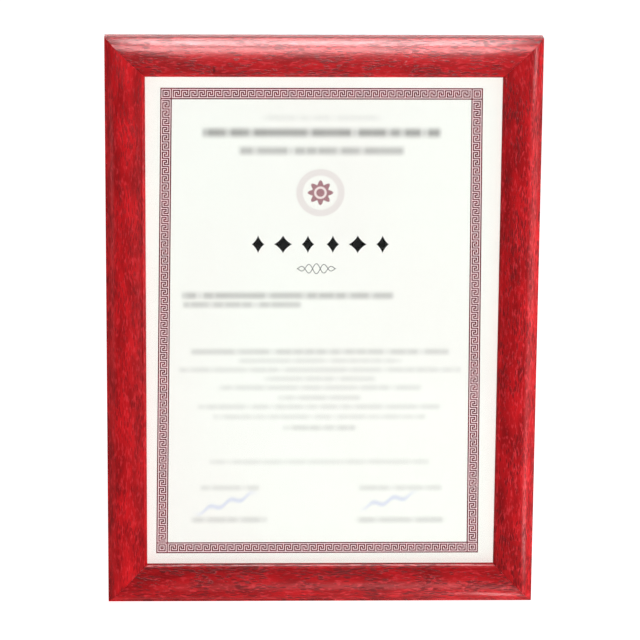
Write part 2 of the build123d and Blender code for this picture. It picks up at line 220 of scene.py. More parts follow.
sweep, given = new_tree("mitred_moulding", Length="Float", Finish="Material")
section = add_node(sweep, "GeometryNodeMeshToCurve", {"Mesh": given["Geometry"]})[0]
half_length = product(sweep, given["Length"], 0.5)
near_x = product(sweep, half_length, -1.0)
near_end = add_node(sweep, "ShaderNodeCombineXYZ", {"X": near_x})[0]
far_end = add_node(sweep, "ShaderNodeCombineXYZ", {"X": half_length})[0]
path = add_node(sweep, "GeometryNodeCurvePrimitiveLine", {"Start": near_end, "End": far_end})[0]
stations = add_node(sweep, "GeometryNodeResampleCurve", {"Curve": path, "Count": 9})[0]
sweeping = {"Curve": stations, "Profile Curve": section, "Fill Caps": True}
swept = add_node(sweep, "GeometryNodeCurveToMesh", sweeping)[0]
station = add_node(sweep, "GeometryNodeInputPosition")[0]
place = add_node(sweep, "ShaderNodeSeparateXYZ", {0: station})
inward = math_node(sweep, "DIVIDE", place["Y"], half_length)
shorten = math_node(sweep, "ADD", 1.0, inward)
mitred_x = product(sweep, place["X"], shorten)
over_y, over_z = product(sweep, place["Y"], -1.0), product(sweep, place["Z"], -1.0)
mitred = add_node(sweep, "ShaderNodeCombineXYZ", {"X": mitred_x, "Y": over_y, "Z": over_z})[0]
moved = add_node(sweep, "GeometryNodeSetPosition", {"Geometry": swept, "Position": mitred})[0]


def close_tree(tree, geometry, finish):
    """Ends a tree: instances made real, the material set, and out."""
    real = add_node(tree, "GeometryNodeRealizeInstances", {"Geometry": geometry})[0]
    finished = add_node(tree, "GeometryNodeSetMaterial", {"Geometry": real, "Material": finish})
    add_node(tree, "NodeGroupOutput", {"Geometry": finished[0]})


close_tree(sweep, moved, given["Finish"])


def cleared(owner):
    """The emptied node tree of a material or a world."""
    owner.use_nodes = True
    owner.node_tree.nodes.clear()
    return owner.node_tree


def new_material(name):
    material = bpy.data.materials.new(name)
    return material, cleared(material)


def close_material(tree, colour, roughness, normal=None, specular=0.5, metallic=0.0):
    """Ends a material in its shader. What is the same all over is set on the shader's own socket."""
    inputs = {"Base Color": colour, "Roughness": roughness}
    inputs |= {"Specular IOR Level": specular, "Metallic": metallic}
    if normal is not None:
        inputs["Normal"] = normal
    shader = add_node(tree, "ShaderNodeBsdfPrincipled", inputs)
    add_node(tree, "ShaderNodeOutputMaterial", {"Surface": shader[0]})


def attribute(tree, name, part="Fac"):
    return add_node(tree, "ShaderNodeAttribute", attribute_name=name)[part]


def own_place(tree):
    return add_node(tree, "ShaderNodeTexCoord")["Object"]


def scaled(tree, vector, scale, shift=(0, 0, 0)):
    return add_node(tree, "ShaderNodeMapping", {"Vector": vector, "Scale": scale, "Location": shift})[0]


def noise(tree, vector, scale=1.0, detail=2.0, roughness=0.5, distortion=0.0, part="Fac"):
    inputs = {"Vector": vector, "Scale": scale, "Detail": detail}
    inputs |= {"Roughness": roughness, "Distortion": distortion}
    return add_node(tree, "ShaderNodeTexNoise", inputs)[part]


def cells(tree, vector, scale=1.0):
    """How far each point is from the middle of its cell: for pores and for spangle."""
    return add_node(tree, "ShaderNodeTexVoronoi", {"Vector": vector, "Scale": scale})["Distance"]


def bump(tree, height, distance, strength):
    inputs = {"Height": height, "Distance": distance, "Strength": strength}
    return add_node(tree, "ShaderNodeBump", inputs)[0]


def ramp(tree, value, low, high, to_low=0.0, to_high=1.0):
    inputs = {"Value": value, "From Min": low, "From Max": high, "To Min": to_low, "To Max": to_high}
    return add_node(tree, "ShaderNodeMapRange", inputs, interpolation_type="SMOOTHSTEP")[0]


def blend(tree, share, first, second, blend_type="MIX"):
    inputs = {"Factor": share, 6: first, 7: second}
    return add_node(tree, "ShaderNodeMix", inputs, data_type="RGBA", blend_type=blend_type)[2]


def srgb(red, green, blue):
    """An sRGB colour, 0 to 255, as the linear colour that shaders take."""
    parts = [part / 255 for part in (red, green, blue)]
    return (*[part / 12.92 if part < 0.04045 else ((part + 0.055) / 1.055) ** 2.4 for part in parts], 1.0)


stained_wood, wood = new_material("stained_wood")
grain = attribute(wood, "grain", "Vector")
drift = noise(wood, scaled(wood, grain, (28, 60, 60)), part="Color")
centred = vector_node(wood, "SUBTRACT", drift, (0.5, 0.5, 0.5))["Vector"]
sway = vector_node(wood, "MULTIPLY", centred, (0.0, 0.0055, 0.0055))["Vector"]
wavy = vector_node(wood, "ADD", grain, sway)["Vector"]
figure = noise(wood, scaled(wood, wavy, (42, 150, 150)), detail=3.0)
fibre = noise(wood, scaled(wood, wavy, (90, 2600, 2600)))
mottle = noise(wood, scaled(wood, wavy, (240, 760, 760)))
pore_patches = ramp(wood, noise(wood, scaled(wood, wavy, (55, 130, 130), (3, 1, 7))), 0.36, 0.62)
pore_width = ramp(wood, pore_patches, 0.0, 1.0, 0.22, 0.46)
pore_cells = cells(wood, scaled(wood, wavy, (205, 1100, 1100)))
pores = ramp(wood, math_node(wood, "SUBTRACT", pore_width, pore_cells), -0.02, 0.06)
base = blend(wood, ramp(wood, figure, 0.3, 0.7), srgb(142, 11, 16), srgb(190, 20, 27))
lively = math_node(wood, "SUBTRACT", 1.0, attribute(wood, "calm"))
mottle_share = product(wood, ramp(wood, mottle, 0.5, 0.7, 0.0, 0.7), lively)
fibre_share = product(wood, ramp(wood, fibre, 0.35, 0.75, 0.0, 0.3), lively)
mottled = blend(wood, mottle_share, base, srgb(216, 54, 62))
fibred = blend(wood, fibre_share, mottled, srgb(118, 11, 16))
pored = blend(wood, product(wood, pores, 0.9, lively), fibred, srgb(108, 6, 13))
from_knot = vector_node(wood, "SUBTRACT", wavy, knot_place)["Vector"]
knot_reach = vector_node(wood, "LENGTH", scaled(wood, from_knot, (1100, 420, 0)))["Value"]
knotted = blend(wood, ramp(wood, knot_reach, 1.3, 0.4, 0.0, 0.75), pored, srgb(72, 6, 8))
# Painted shade: the colour darkens across the inner slope toward the quirk
with_inner_shade = blend(wood, attribute(wood, "stain"), knotted, (0.8, 0.7, 0.74, 1.0), "MULTIPLY")
dulled = ramp(wood, attribute(wood, "polish"), 0.0, 1.0, wall_roughness, 0.0)
lacquer = math_node(wood, "MAXIMUM", dulled, ramp(wood, pores, 0.0, 1.0, 0.3, 0.45))
swelling = math_node(wood, "MULTIPLY_ADD", mottle, 0.8, product(wood, fibre, 0.25))
relief = math_node(wood, "SUBTRACT", swelling, product(wood, pores, 0.7))
close_material(wood, with_inner_shade, lacquer, bump(wood, relief, 0.00016, 0.7), specular=0.07)

# Each rail: its length, its plank and how calm that is, the middle of its outer edge, and its turn
half_width = frame_width / 2
half_height = frame_height / 2
rail_plan = {
    "bottom": (frame_width, 0, 0.0, (0, 0), 0),
    "right": (frame_height, 1, 0.12, (half_width, half_height), 90),
    "top": (frame_width, top_plank, 0.0, (0, frame_height), 180),
    "left": (frame_height, 3, 0.38, (-half_width, half_height), -90),
}
quirk_end = (quirk_bottom[0] + lip_start[0]) / 2
section_points = moulding_section()
section_edges = [(index, (index + 1) % len(section_points)) for index in range(len(section_points))]
outline = bpy.data.meshes.new("outline")
outline.from_pydata([(x, y, 0) for x, y in section_points], section_edges, [])
kinds = {"grain": "FLOAT_VECTOR", "polish": "FLOAT", "stain": "FLOAT", "calm": "FLOAT"}
for side, (length, plank, calmness, middle, turn) in rail_plan.items():
    rail = grow(outline, sweep, arris_bevel, Length=length, Finish=stained_wood)
    for name, kind in kinds.items():
        rail.attributes.new(name, kind, "POINT")
    rail_data = [rail.attributes[name].data for name in kinds]
    for vertex, along_grain, polish, stain, calm in zip(rail.vertices, *rail_data):
        inward = vertex.co.y
        along_grain.vector = vertex.co + Vector((plank * plank_step[0], plank * plank_step[1], 0))
        polish.value = float(inward > arris_flat / 2 and vertex.co.z > rebate_depth)
        # Painted shade, per point: none where it begins, full at the face's end and on into the quirk
        if inner_shade_start < inward < quirk_end:
            stain.value = min((inward - inner_shade_start) / (face_end[0] - inner_shade_start), 1.0)
        calm.value = calmness
    rail.transform(face @ turned_at(*middle, turn=turn))
    add_piece(f"moulding_{side}", rail, "frame", "stained_wood", f"{side}_rail")


# Glass: a 2 mm pane of clear float glass with seamed edges, pressed against the lip by what lies behind it.
# It stands clear of the print by a hair.
pane_width = 0.211
pane_height = 0.298
pane_back = 0.00484
pane_front = 0.00678
pane_seam = 0.00025


def to_mesh(shape, name):
    """The mesh of a finished bmesh, which is freed."""
    mesh = bpy.data.meshes.new(name)
    shape.to_mesh(mesh)
    shape.free()
    return mesh


def block(size, middle, seam=0.0):
    """A box about a middle, with its edges eased by a seam."""
    shape = bmesh.new()
    bmesh.ops.create_cube(shape, size=1.0)
    bmesh.ops.scale(shape, vec=size, verts=shape.verts)
    bmesh.ops.translate(shape, vec=middle, verts=shape.verts)
    if seam:
        bmesh.ops.bevel(shape, geom=shape.edges[:], offset=seam, segments=1, affect="EDGES")
    return to_mesh(shape, "block")


def slab(width, height, back, front, seam=0.0):
    """A plate in the middle of the face, between two depths."""
    mesh = block((width, height, front - back), (0, half_height, (front + back) / 2), seam)
    mesh.transform(face)
    return mesh


clear_glass, glazing = new_material("clear_glass")
see_through = add_node(glazing, "ShaderNodeBsdfTransparent", {"Color": (0.985, 0.995, 0.99, 1)})
shine = add_node(glazing, "ShaderNodeBsdfGlossy", {"Color": (1, 1, 1, 1), "Roughness": 0.02})
slant = add_node(glazing, "ShaderNodeLayerWeight", {"Blend": 0.5})["Facing"]
reflected = math_node(glazing, "MULTIPLY_ADD", math_node(glazing, "POWER", slant, 5.0), 0.9, 0.008)
layers = {0: reflected, 1: see_through[0], 2: shine[0]}
glass_mix = add_node(glazing, "ShaderNodeMixShader", layers)
add_node(glazing, "ShaderNodeOutputMaterial", {"Surface": glass_mix[0]})
glass = slab(pane_width, pane_height, pane_back, pane_front, seam=pane_seam)
glass.materials.append(clear_glass)
add_piece("glass", glass, "frame", "clear_glass", "glass_pane", sharp=20.0)


# Certificate: one A4 sheet of heavy paper, printed with a pale border ground, soft grey lines where the
# wording would be, a faded seal and two faint pen strokes. It lies flat behind the glass.
sheet_width = 0.210
sheet_height = 0.297
sheet_back = 0.0045
sheet_front = 0.00476
border_middle = (-0.0010, 0.1674)
border_cell = 0.0006
cells_across = 312
cells_up = 464
print_scale = 0.9972
print_taper = 0.0154
print_shift = -0.0004
print_lean = 0.0003
line_blur = 0.0022
line_fade = 0.0018
word_scale = 150
word_shift = 900

# Each printed line: its middle across and up the face, half its length and half its depth, its darkness
printed_lines = [
    (-0.001, 0.2896, 0.034, 0.0016, 0.10),
    (-0.001, 0.2809, 0.068, 0.0028, 0.66),
    (-0.001, 0.2703, 0.047, 0.0024, 0.48),
    (-0.020, 0.1846, 0.061, 0.0020, 0.44),
    (-0.0465, 0.1792, 0.034, 0.0017, 0.36),
    (-0.001, 0.1509, 0.075, 0.0016, 0.28),
    (-0.001, 0.1455, 0.047, 0.0014, 0.16),
    (-0.001, 0.1400, 0.082, 0.0014, 0.18),
    (-0.001, 0.1346, 0.032, 0.0014, 0.16),
    (-0.001, 0.1292, 0.059, 0.0014, 0.18),
    (-0.001, 0.1231, 0.024, 0.0014, 0.18),
    (-0.001, 0.1176, 0.071, 0.0014, 0.18),
    (-0.001, 0.1115, 0.062, 0.0014, 0.16),
    (-0.001, 0.1048, 0.021, 0.0014, 0.24),
    (-0.001, 0.0840, 0.064, 0.0014, 0.16),
    (-0.0535, 0.0681, 0.017, 0.0014, 0.20),
    (0.047, 0.0680, 0.024, 0.0014, 0.20),
    (-0.054, 0.0484, 0.022, 0.0016, 0.26),
    (0.047, 0.0482, 0.026, 0.0016, 0.26),
]
# Each pen stroke: its middle across and up the face, half its length, its slope
pen_strokes = [(-0.0560, 0.0585, 0.021, 0.34), (0.0400, 0.0600, 0.019, 0.26)]
pen_waves = 520.0
pen_wave_height = 0.0013
pen_width = 0.0026
pen_strength = 0.42
seal_middle = (-0.0015, 0.2457)
seal_ring_radius = 0.0120
rosette_radius = 0.0062
rosette_eye_radius = 0.0030
petal_count = 8
petal_depth = 0.0012

printed_paper, paper = new_material("printed_paper")
layout = attribute(paper, "layout", "Vector")
spot = add_node(paper, "ShaderNodeSeparateXYZ", {0: layout})
spot_x, spot_y = spot["X"], spot["Y"]


def apart(value, middle):
    """How far a coordinate on the sheet is from a middle value, either way."""
    return math_node(paper, "ABSOLUTE", math_node(paper, "SUBTRACT", value, middle))


def printed_line(across, height, half_length, half_depth, darkness):
    """How dark one line is: broken like words along it, and soft at its ends and edges."""
    words = noise(paper, scaled(paper, layout, (word_scale, 0, 0), (height * word_shift, 0, 0)), detail=0.0)
    strength = ramp(paper, words, 0.3, 0.55, darkness * 0.5, darkness)
    ends = ramp(paper, apart(spot_x, across), half_length + line_blur, half_length - line_blur)
    depth = ramp(paper, apart(spot_y, height), half_depth + line_fade, 0.0)
    return product(paper, ends, depth, strength)


shade = printed_line(*printed_lines[0])
for line in printed_lines[1:]:
    shade = math_node(paper, "MAXIMUM", shade, printed_line(*line))

blush = noise(paper, scaled(paper, layout, (9, 6, 1)), detail=1.0)
tint = blend(paper, ramp(paper, blush, 0.35, 0.7), srgb(248, 247, 243), srgb(247, 243, 240))
fibres = noise(paper, layout, 900, detail=3.0)
toned = blend(paper, ramp(paper, fibres, 0.4, 0.7, 0.0, 0.25), tint, srgb(240, 238, 232))
half_across = cells_across * border_cell / 2
half_up = cells_up * border_cell / 2
band_width = 10 * border_cell
taper_up = -print_taper * half_across / half_up
above_middle = math_node(paper, "SUBTRACT", spot_y, border_middle[1])
half_here = math_node(paper, "MULTIPLY_ADD", above_middle, taper_up, half_across * print_scale)
print_middle = border_middle[0] + print_shift
middle_here = math_node(paper, "MULTIPLY_ADD", above_middle, print_lean / half_up, print_middle)
from_side = math_node(paper, "SUBTRACT", half_here, apart(spot_x, middle_here))
from_end = math_node(paper, "SUBTRACT", half_up, apart(spot_y, border_middle[1]))
inset = math_node(paper, "MINIMUM", from_side, from_end)
past_outer_rule = math_node(paper, "GREATER_THAN", inset, 0.0)
before_inner_rule = math_node(paper, "LESS_THAN", inset, band_width)
in_band = product(paper, past_outer_rule, before_inner_rule, 0.9)
grounded = blend(paper, in_band, toned, srgb(250, 221, 225))
penned = blend(paper, shade, grounded, srgb(96, 92, 92))
for across, height, half_length, slope in pen_strokes:
    along = math_node(paper, "SUBTRACT", spot_x, across)
    wave = math_node(paper, "SINE", product(paper, along, pen_waves))
    swell = math_node(paper, "MULTIPLY_ADD", wave, pen_wave_height, height)
    course = math_node(paper, "MULTIPLY_ADD", along, slope, swell)
    reach = ramp(paper, apart(spot_x, across), half_length, half_length * 0.4)
    pen_mark = product(paper, reach, ramp(paper, apart(spot_y, course), pen_width, 0.0), pen_strength)
    penned = blend(paper, pen_mark, penned, srgb(176, 184, 226))

seal_x = math_node(paper, "SUBTRACT", spot_x, seal_middle[0])
seal_y = math_node(paper, "SUBTRACT", spot_y, seal_middle[1])
seal_place = add_node(paper, "ShaderNodeCombineXYZ", {"X": seal_x, "Y": seal_y})[0]
seal_reach = vector_node(paper, "LENGTH", seal_place)["Value"]
seal_ring = ramp(paper, apart(seal_reach, seal_ring_radius), 0.0026, 0.0012)
ringed = blend(paper, product(paper, seal_ring, 0.75), penned, srgb(228, 217, 216))
petal_turn = product(paper, math_node(paper, "ARCTAN2", seal_y, seal_x), petal_count)
petals = product(paper, math_node(paper, "COSINE", petal_turn), petal_depth)
petal_reach = math_node(paper, "ADD", petals, rosette_radius)
rosette = ramp(paper, math_node(paper, "SUBTRACT", petal_reach, seal_reach), -0.0004, 0.0006)
blossomed = blend(paper, product(paper, rosette, 0.85), ringed, srgb(146, 70, 88))
rosette_eye = ramp(paper, apart(seal_reach, rosette_eye_radius), 0.0010, 0.0003)
sealed = blend(paper, rosette_eye, blossomed, srgb(240, 222, 222))
close_material(paper, sealed, 0.85, specular=0.1)

sheet = slab(sheet_width, sheet_height, sheet_back, sheet_front)
sheet_layout = sheet.attributes.new("layout", "FLOAT_VECTOR", "POINT")
to_face = face.inverted()
for vertex, stored in zip(sheet.vertices, sheet_layout.data):
    stored.vector = to_face @ vertex.co
sheet.materials.append(printed_paper)
add_piece("certificate", sheet, "frame", "printed_paper", "certificate_sheet", sharp=20.0)


# Printed border: maroon ink on the sheet, a hair thick. It is the old meander key, one unit of it set out
# along each side between two rules, with a nested square in each corner.
ink_thickness = 0.00003
ink_spread = 0.00006
print_gap = 0.00001
merge_distance = 0.000005
keys_across = 36
keys_up = 55
key_rows = [
    "#######.",
    "#.....#.",
    "#.###.#.",
    "#.#.#.#.",
    "#.#.###.",
    "#.#.....",
    "#.######",
]
corner_rows = [
    "#######",
    "#.....#",
    "#.###.#",
    "#.#.#.#",
    "#.###.#",
    "#.....#",
    "#######",
]
closing_rows = ["#"] * 7

# In from the outer rule: the key's two edges and its middle, and where a run starts
key_outer = 2 * border_cell
key_inner = 8 * border_cell
key_middle = 5 * border_cell
run_start = 12 * border_cell
key_pitch = 8 * border_cell

border_ink, maroon = new_material("border_ink")
worn = noise(maroon, own_place(maroon), 260)
maroon_tone = blend(maroon, ramp(maroon, worn, 0.35, 0.7), srgb(96, 10, 28), srgb(126, 36, 52))
close_material(maroon, maroon_tone, 0.7, specular=0.05)


def stencil(rows):
    """A thin plate with the shape of the # marks. The lowest row's first mark is centred on the origin."""
    filled = {
        (column, len(rows) - 1 - row)
        for row, marks in enumerate(rows)
        for column, mark in enumerate(marks)
        if mark == "#"
    }
    plate = bmesh.new()
    corners = {}

    def corner(column, row, level):
        spot = (column, row, level)
        if spot not in corners:
            across, up = (column - 0.5) * border_cell, (row - 0.5) * border_cell
            corners[spot] = plate.verts.new((across, up, level * ink_thickness))
        return corners[spot]

    for column, row in sorted(filled):
        square = [(column, row), (column + 1, row), (column + 1, row + 1), (column, row + 1)]
        plate.faces.new([corner(*spot, 1) for spot in square])
        plate.faces.new([corner(*spot, 0) for spot in reversed(square)])
        beside = [(column, row - 1), (column + 1, row), (column, row + 1), (column - 1, row)]
        for side, neighbour in enumerate(beside):
            if neighbour not in filled:
                start, end = square[side], square[(side + 1) % 4]
                wall = [(*start, 0), (*end, 0), (*end, 1), (*start, 1)]
                plate.faces.new([corner(*spot) for spot in wall])
    plate.normal_update()
    for vertex in plate.verts:
        walls = [wall.normal for wall in vertex.link_faces if abs(wall.normal.z) < 0.5]
        outward = sum(walls, Vector())
        vertex.co += Vector([ink_spread * ((part > 0.5) - (part < -0.5)) for part in outward])
    return to_mesh(plate, "stencil")


def template(mesh):
    """A hidden object that a tree can copy. It is removed once the copies are plain mesh."""
    return bpy.data.objects.new("template", mesh)


run_tree, given = new_tree("key_run", Keys="Int", Pitch="Float", Key="Object", Ink="Material")
one_on = add_node(run_tree, "ShaderNodeCombineXYZ", {"X": given["Pitch"]})[0]
key_line = {"Count": given["Keys"], "Offset": one_on}
spots = add_node(run_tree, "GeometryNodeMeshLine", key_line, mode="OFFSET")[0]
key = add_node(run_tree, "GeometryNodeObjectInfo", {"Object": given["Key"]})["Geometry"]
copies = add_node(run_tree, "GeometryNodeInstanceOnPoints", {"Points": spots, "Instance": key})[0]
run_length = product(run_tree, given["Keys"], given["Pitch"])
run_end = add_node(run_tree, "ShaderNodeCombineXYZ", {"X": run_length})[0]
closing = {"Geometry": given["Geometry"], "Translation": run_end}
closed = add_node(run_tree, "GeometryNodeTransform", closing)[0]
joined = run_tree.nodes.new("GeometryNodeJoinGeometry")
for part in (copies, closed):
    run_tree.links.new(part, joined.inputs[0])
plain = add_node(run_tree, "GeometryNodeRealizeInstances", {"Geometry": joined.outputs[0]})[0]
touching = {"Geometry": plain, "Distance": merge_distance}
merged = add_node(run_tree, "GeometryNodeMergeByDistance", touching)[0]
close_tree(run_tree, merged, given["Ink"])


def wall_between(shape, first, second):
    """Faces between two rings of points. A ring of one point is a pole."""
    steps = max(len(first), len(second))
    for index in range(steps):
        after = (index + 1) % steps
        around = ((first, index), (first, after), (second, after), (second, index))
        corners = dict.fromkeys(ring[place % len(ring)] for ring, place in around)
        shape.faces.new(list(corners))


def rule(half_x, half_y):
    """A printed rule round a rectangle of half sizes, as a thin plate."""
    width = border_cell + 2 * ink_spread
    ring = bmesh.new()
    loops = []
    for level in (0, ink_thickness):
        for grown in (width / 2, -width / 2):
            x, y = half_x + grown, half_y + grown
            loops.append([ring.verts.new((*spot, level)) for spot in ((-x, -y), (x, -y), (x, y), (-x, y))])
    lower_out, lower_in, upper_out, upper_in = loops
    bands = ((upper_out, upper_in), (lower_in, lower_out), (lower_out, upper_out), (upper_in, lower_in))
    for first, second in bands:
        wall_between(ring, first, second)
    return to_mesh(ring, "rule")


def join_meshes(parts):
    """One mesh of several, each put in its place first."""
    whole = bmesh.new()
    for mesh, place in parts:
        mesh.transform(place)
        whole.from_mesh(mesh)
    return to_mesh(whole, "joined")


def on_sheet(x, y, turn=0.0):
    """Where a printed shape goes: its place in the border's own axes, turned on the sheet."""
    return face @ turned_at(border_middle[0] + x, border_middle[1] + y, sheet_front + print_gap, turn)


def centred_at(rows, x, y):
    """A stencil with its middle at a place in the border's own axes, and that place's matrix."""
    half_row = (len(rows[0]) - 1) / 2 * border_cell
    half_column = (len(rows) - 1) / 2 * border_cell
    return stencil(rows), on_sheet(x - half_row, y - half_column)


key_template = template(stencil(key_rows))


def key_run(keys):
    values = {"Keys": keys, "Pitch": key_pitch, "Key": key_template, "Ink": border_ink}
    return grow(stencil(closing_rows), run_tree, **values)


first_across = run_start - half_across
first_up = half_up - run_start
border_parts = [
    (key_run(keys_across), on_sheet(first_across, half_up - key_inner)),
    (key_run(keys_across), on_sheet(first_across, key_outer - half_up)),
    (key_run(keys_up), on_sheet(key_outer - half_across, first_up, -90)),
    (key_run(keys_up), on_sheet(half_across - key_inner, first_up, -90)),
    (rule(half_across, half_up), on_sheet(0, 0)),
    (rule(half_across - band_width, half_up - band_width), on_sheet(0, 0)),
]
for right in (-1, 1):
    for upper in (-1, 1):
        key_x, key_y = right * (half_across - key_middle), upper * (half_up - key_middle)
        rule_x, rule_y = right * (half_across - band_width), upper * (half_up - band_width)
        border_parts.append(centred_at(corner_rows, key_x, key_y))
        border_parts.append(centred_at(["#"] * 9, rule_x, key_y))
        border_parts.append(centred_at(["#" * 9], key_x, rule_y))
border = join_meshes(border_parts)
for vertex in border.vertices:
    spot = to_face @ vertex.co
    share_up = (spot.y - border_middle[1]) / half_up
    middle = border_middle[0] + print_shift + print_lean * share_up
    spot.x = middle + (spot.x - border_middle[0]) * (print_scale - print_taper * share_up)
    vertex.co = face @ spot
border.materials.append(border_ink)
border.polygons.foreach_set("material_index", [0] * len(border.polygons))
add_piece("printed_border", border, "frame", "printed_paper", sharp=20.0)
bpy.data.objects.remove(key_template)


# Ornaments in black ink: a row of six lozenges where the title would stand, two of them wide, and a twist
# of two pen strokes under it.
title_middle = (-0.0013, 0.2152)
title_reach = 0.0360
title_count = 6
title_wide = (1, 4)
lozenge_half_height = 0.0052
lozenge_half_width = 0.0036
lozenge_pinch = 0.8
lozenge_points = 32
flourish_middle = (-0.0035, 0.2007)
twist_half_width = 0.0112
twist_half_height = 0.0030
twist_gauge = 0.00034
twist_turns = 2.5
twist_steps = 120

black_ink, black = new_material("black_ink")
dense = noise(black, own_place(black), 500, detail=1.0)
close_material(black, blend(black, dense, srgb(6, 6, 6), srgb(16, 15, 15)), 0.8, specular=0.0)


def prism(loop, low, high):
    """A loop of points drawn out from one depth to another."""
    solid = bmesh.new()
    lower, upper = [[solid.verts.new((*spot, depth)) for spot in loop] for depth in (low, high)]
    solid.faces.new(reversed(lower))
    solid.faces.new(upper)
    wall_between(solid, lower, upper)
    return to_mesh(solid, "prism")


def lozenge(half_width):
    """A four-pointed figure whose sides curve in by the pinch."""
    points = []
    for step in range(lozenge_points):
        angle = 2 * math.pi * step / lozenge_points
        along, up = math.cos(angle), math.sin(angle)
        reach = (abs(along) ** lozenge_pinch + abs(up) ** lozenge_pinch) ** (-1 / lozenge_pinch)
        points.append((half_width * reach * along, lozenge_half_height * reach * up))
    return prism(points, 0, ink_thickness)


ornaments = []
for place in range(title_count):
    across = title_middle[0] - title_reach + place * 2 * title_reach / (title_count - 1)
    shape = lozenge(lozenge_half_height if place in title_wide else lozenge_half_width)
    ornaments.append((shape, face @ turned_at(across, title_middle[1], sheet_front + print_gap)))


def twist():
    """Two pen strokes that wind round each other, widest in the middle: the two sides of each."""
    strokes = []
    for hand in (-1, 1):
        course = []
        for step in range(twist_steps + 1):
            along = 2 * step / twist_steps - 1
            swing = math.cos(along * math.pi / 2) ** 0.7
            swing *= math.sin(along * twist_turns * math.pi + math.pi / 2)
            course.append(Vector((twist_half_width * along, hand * twist_half_height * swing, 0)))
        sides = []
        for index, spot in enumerate(course):
            heading = course[min(index + 1, twist_steps)] - course[max(index - 1, 0)]
            sides.append(Vector((-heading.y, heading.x, 0)).normalized() * twist_gauge / 2)
        upper = [(spot + side).to_2d() for spot, side in zip(course, sides)]
        lower = [(spot - side).to_2d() for spot, side in zip(course, sides)]
        strokes.append((upper, lower))
    return strokes


def stroke_plate(upper, lower):
    """A long thin plate of ink between two lines of points."""
    plate = bmesh.new()
    rows = [
        [plate.verts.new((*spot, level)) for spot in side]
        for side, level in ((lower, 0), (upper, 0), (upper, ink_thickness), (lower, ink_thickness))
    ]
    for index in range(len(upper) - 1):
        for first, second in zip(rows, rows[1:] + rows[:1]):
            plate.faces.new([first[index], second[index], second[index + 1], first[index + 1]])
    for end in (0, -1):
        plate.faces.new([row[end] for row in rows])
    bmesh.ops.recalc_face_normals(plate, faces=plate.faces)
    return to_mesh(plate, "stroke")


for over, (upper, lower) in enumerate(twist()):
    depth = sheet_front + print_gap + over * ink_thickness / 3
    ornaments.append((stroke_plate(upper, lower), face @ turned_at(*flourish_middle, depth)))
ornament = join_meshes(ornaments)
ornament.materials.append(black_ink)
add_piece("printed_ornaments", ornament, "frame", "printed_paper", sharp=20.0)


# Card, backing board and strut. The plain card keeps the sheet flat against the glass. The board and the
# strut are brown hardboard: clouded, with paler strands and dark chips pressed in.
def dress(material, *names):
    for name in names:
        for held in nodes[name].material_slots:
            held.material = material


card, card_tree = new_material("card")
flecks = noise(card_tree, own_place(card_tree), 700, detail=3.0)
close_material(card_tree, blend(card_tree, flecks, srgb(222, 214, 198), srgb(205, 196, 178)), 0.9)
dress(card, "mount_card")

hardboard, board = new_material("hardboard")
board_place = own_place(board)
clouds = noise(board, board_place, 26, detail=3.0)
chips = noise(board, board_place, 900, detail=4.0, roughness=0.65)
strands = noise(board, board_place, 260, detail=3.0, distortion=1.2)
tone = blend(board, ramp(board, clouds, 0.3, 0.7), srgb(96, 66, 44), srgb(112, 80, 55))
stranded = blend(board, ramp(board, strands, 0.45, 0.75, 0.0, 0.5), tone, srgb(142, 108, 78))
speckled = blend(board, ramp(board, chips, 0.52, 0.72, 0.0, 0.6), stranded, srgb(70, 46, 30))
board_roughness = ramp(board, chips, 0.3, 0.7, 0.5, 0.75)
close_material(board, speckled, board_roughness, bump(board, chips, 0.00008, 0.4), specular=0.3)
dress(hardboard, "backing_board", "easel_strut")


# Hinge, hanger and turn buttons: stamped steel with a thin zinc coat, cloudy and a little scuffed. Hinge and
# strap are riveted on, each button turns on its screw, and pin and ring are brighter drawn wire.
def zinc_steel(name, light, dark, rough_low, rough_high):
    material, tree = new_material(name)
    where = own_place(tree)
    spangle = ramp(tree, cells(tree, where, 420.0), 0.0, 0.9, 0.0, 0.5)
    cloud = ramp(tree, noise(tree, where, 140, detail=3.0), 0.4, 0.7, 0.0, 0.5)
    scratches = noise(tree, scaled(tree, where, (2600, 160, 900)))
    clouded = blend(tree, cloud, blend(tree, spangle, light, dark), dark)
    roughness = ramp(tree, scratches, 0.3, 0.7, rough_low, rough_high)
    close_material(tree, clouded, roughness, bump(tree, scratches, 0.00001, 0.3), metallic=1.0)
    return material


hinge_steel = zinc_steel("hinge_steel", srgb(196, 196, 190), srgb(150, 150, 146), 0.34, 0.5)
button_steel = zinc_steel("button_steel", srgb(204, 203, 196), srgb(160, 159, 152), 0.28, 0.42)
pin_steel = zinc_steel("pin_steel", srgb(190, 188, 184), srgb(150, 148, 144), 0.2, 0.32)
dress(hinge_steel, "hinge_plate", "hinge_leaf", "hanger_strap")
dress(pin_steel, "hinge_pin", "hanger_ring")
buttons = [name for name in nodes if name.startswith("turn_button_")]
buttons.remove("turn_button_screws")
dress(button_steel, *buttons)


# Screws and rivets: turned steel screws with domed, cross-slotted heads, one through each turn button, and
# brassed rivets clinched behind. One shape of each is set out on its places.
set_tree, given = new_tree("set_out", Piece="Object", Finish="Material")
shape = add_node(set_tree, "GeometryNodeObjectInfo", {"Object": given["Piece"]})["Geometry"]
turn = add_node(set_tree, "GeometryNodeInputNamedAttribute", {"Name": "turn"}, data_type="FLOAT_VECTOR")
turned = add_node(set_tree, "FunctionNodeEulerToRotation", {0: turn["Attribute"]})[0]
placing = {"Points": given["Geometry"], "Instance": shape, "Rotation": turned}
placed = add_node(set_tree, "GeometryNodeInstanceOnPoints", placing)[0]
close_tree(set_tree, placed, given["Finish"])


